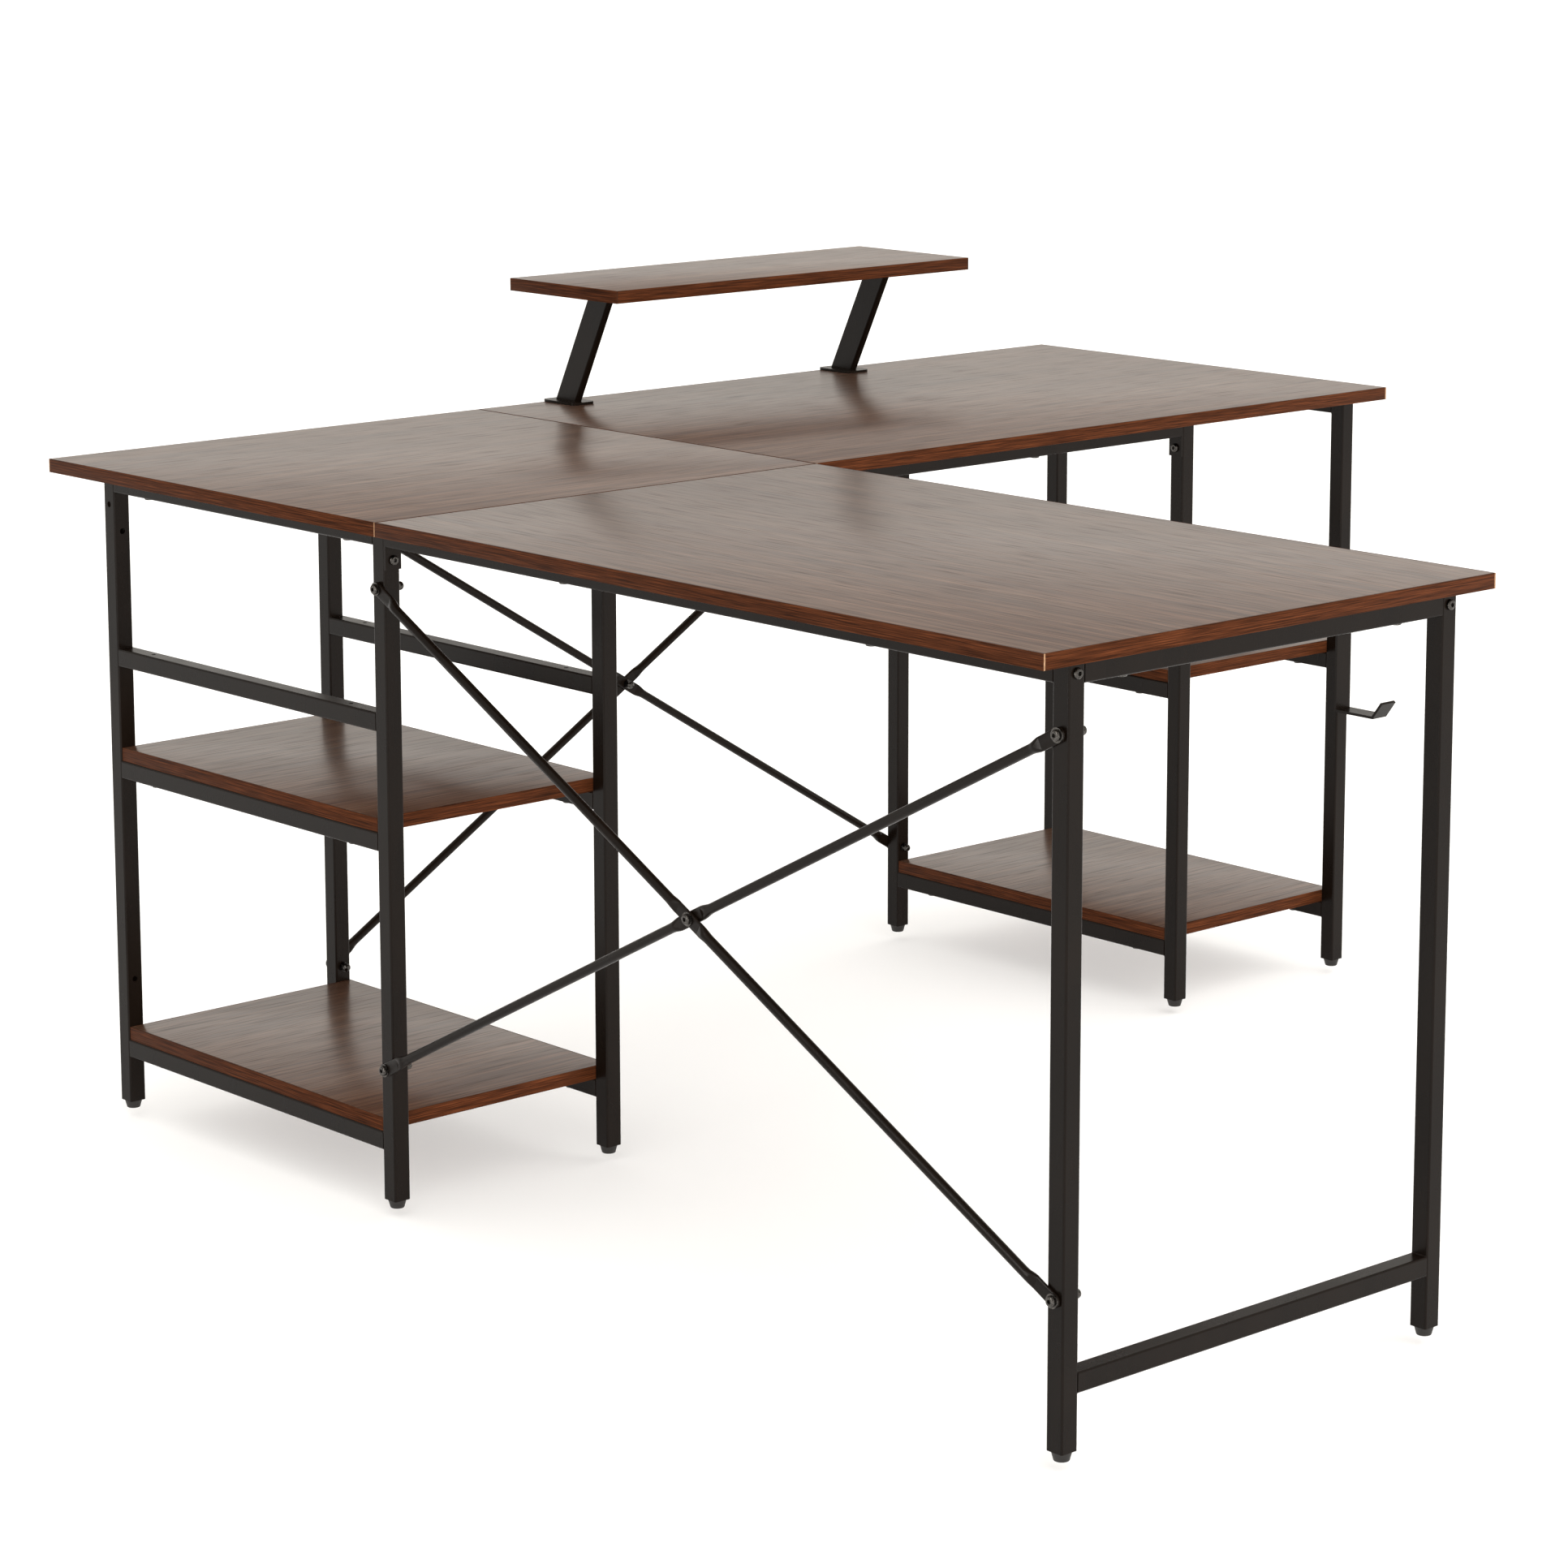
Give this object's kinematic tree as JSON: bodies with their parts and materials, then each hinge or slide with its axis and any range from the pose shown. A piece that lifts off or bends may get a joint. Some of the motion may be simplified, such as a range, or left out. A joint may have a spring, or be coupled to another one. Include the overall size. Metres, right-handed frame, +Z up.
{
  "type": "corner desk",
  "caption": "L-shaped corner desk with walnut boards on a black steel frame, open shelf units, cross braces, a raised monitor shelf and a bag hook.",
  "frame": {"origin": "middle of the desk's footprint, on the floor", "axes": "+X along the side wing away from the corner, +Y along the main wing away from the corner, +Z up"},
  "size_m": [1.585, 1.55, 0.892],
  "materials": {
    "walnut_laminate": "satin melamine laminate with walnut grain and a darker edge band",
    "black_powder_coat": "fine satin black powder coat",
    "black_hardware": "black zinc plated fasteners",
    "zinc_plated_steel": "bright zinc plate",
    "black_plastic": "moulded black plastic"
  },
  "bodies": {
    "desk": {"bag_hook": "black_powder_coat", "brace_bolts": "black_hardware", "brace_cap_nuts": "black_hardware", "brace_washers": "black_hardware", "corner_inner_rails": "black_powder_coat", "corner_leg_back": "black_powder_coat", "corner_leg_front": "black_powder_coat", "corner_leg_inner": "black_powder_coat", "corner_leg_wall": "black_powder_coat", "corner_low_shelf": "walnut_laminate", "corner_mid_shelf": "walnut_laminate", "corner_outer_rails": "black_powder_coat", "corner_top": "walnut_laminate", "end_inner_rails": "black_powder_coat", "end_leg_back_inner": "black_powder_coat", "end_leg_back_outer": "black_powder_coat", "end_leg_front_inner": "black_powder_coat", "end_leg_front_outer": "black_powder_coat", "end_low_shelf": "walnut_laminate", "end_mid_shelf": "walnut_laminate", "end_outer_rails": "black_powder_coat", "foot_plugs": "black_plastic", "hook_bolt": "black_hardware", "main_back_rail": "black_powder_coat", "main_brace_falling": "black_powder_coat", "main_brace_rising": "black_powder_coat", "main_front_rail": "black_powder_coat", "main_wing_top": "walnut_laminate", "monitor_base_bolts": "black_hardware", "monitor_post_left": "black_powder_coat", "monitor_post_right": "black_powder_coat", "monitor_shelf": "walnut_laminate", "monitor_shelf_screws": "black_hardware", "rail_end_bolts": "black_hardware", "rail_end_plugs": "zinc_plated_steel", "shelf_screws": "black_hardware", "side_brace_falling": "black_powder_coat", "side_brace_rising": "black_powder_coat", "side_end_rail": "black_powder_coat", "side_end_stretcher": "black_powder_coat", "side_leg_user": "black_powder_coat", "side_leg_wall": "black_powder_coat", "side_user_rail": "black_powder_coat", "side_wall_rail": "black_powder_coat", "side_wing_top": "walnut_laminate", "tab_bolts": "black_hardware", "top_screws": "black_hardware", "weld_nuts": "zinc_plated_steel"},
    "corner_foot_back_body": {"corner_foot_back": "black_plastic"},
    "corner_foot_front_body": {"corner_foot_front": "black_plastic"},
    "corner_foot_inner_body": {"corner_foot_inner": "black_plastic"},
    "corner_foot_wall_body": {"corner_foot_wall": "black_plastic"},
    "end_foot_back_inner_body": {"end_foot_back_inner": "black_plastic"},
    "end_foot_back_outer_body": {"end_foot_back_outer": "black_plastic"},
    "end_foot_front_inner_body": {"end_foot_front_inner": "black_plastic"},
    "end_foot_front_outer_body": {"end_foot_front_outer": "black_plastic"},
    "side_foot_user_body": {"side_foot_user": "black_plastic"},
    "side_foot_wall_body": {"side_foot_wall": "black_plastic"}
  },
  "joints": [
    {"name": "corner_foot_back_adjust", "type": "slide", "parent": "desk", "child": "corner_foot_back_body", "axis": [0, 0, -1], "range_m": [0, 0.01]},
    {"name": "corner_foot_front_adjust", "type": "slide", "parent": "desk", "child": "corner_foot_front_body", "axis": [0, 0, -1], "range_m": [0, 0.01]},
    {"name": "corner_foot_inner_adjust", "type": "slide", "parent": "desk", "child": "corner_foot_inner_body", "axis": [0, 0, -1], "range_m": [0, 0.01]},
    {"name": "corner_foot_wall_adjust", "type": "slide", "parent": "desk", "child": "corner_foot_wall_body", "axis": [0, 0, -1], "range_m": [0, 0.01]},
    {"name": "end_foot_back_inner_adjust", "type": "slide", "parent": "desk", "child": "end_foot_back_inner_body", "axis": [0, 0, -1], "range_m": [0, 0.01]},
    {"name": "end_foot_back_outer_adjust", "type": "slide", "parent": "desk", "child": "end_foot_back_outer_body", "axis": [0, 0, -1], "range_m": [0, 0.01]},
    {"name": "end_foot_front_inner_adjust", "type": "slide", "parent": "desk", "child": "end_foot_front_inner_body", "axis": [0, 0, -1], "range_m": [0, 0.01]},
    {"name": "end_foot_front_outer_adjust", "type": "slide", "parent": "desk", "child": "end_foot_front_outer_body", "axis": [0, 0, -1], "range_m": [0, 0.01]},
    {"name": "side_foot_user_adjust", "type": "slide", "parent": "desk", "child": "side_foot_user_body", "axis": [0, 0, -1], "range_m": [0, 0.01]},
    {"name": "side_foot_wall_adjust", "type": "slide", "parent": "desk", "child": "side_foot_wall_body", "axis": [0, 0, -1], "range_m": [0, 0.01]}
  ]
}
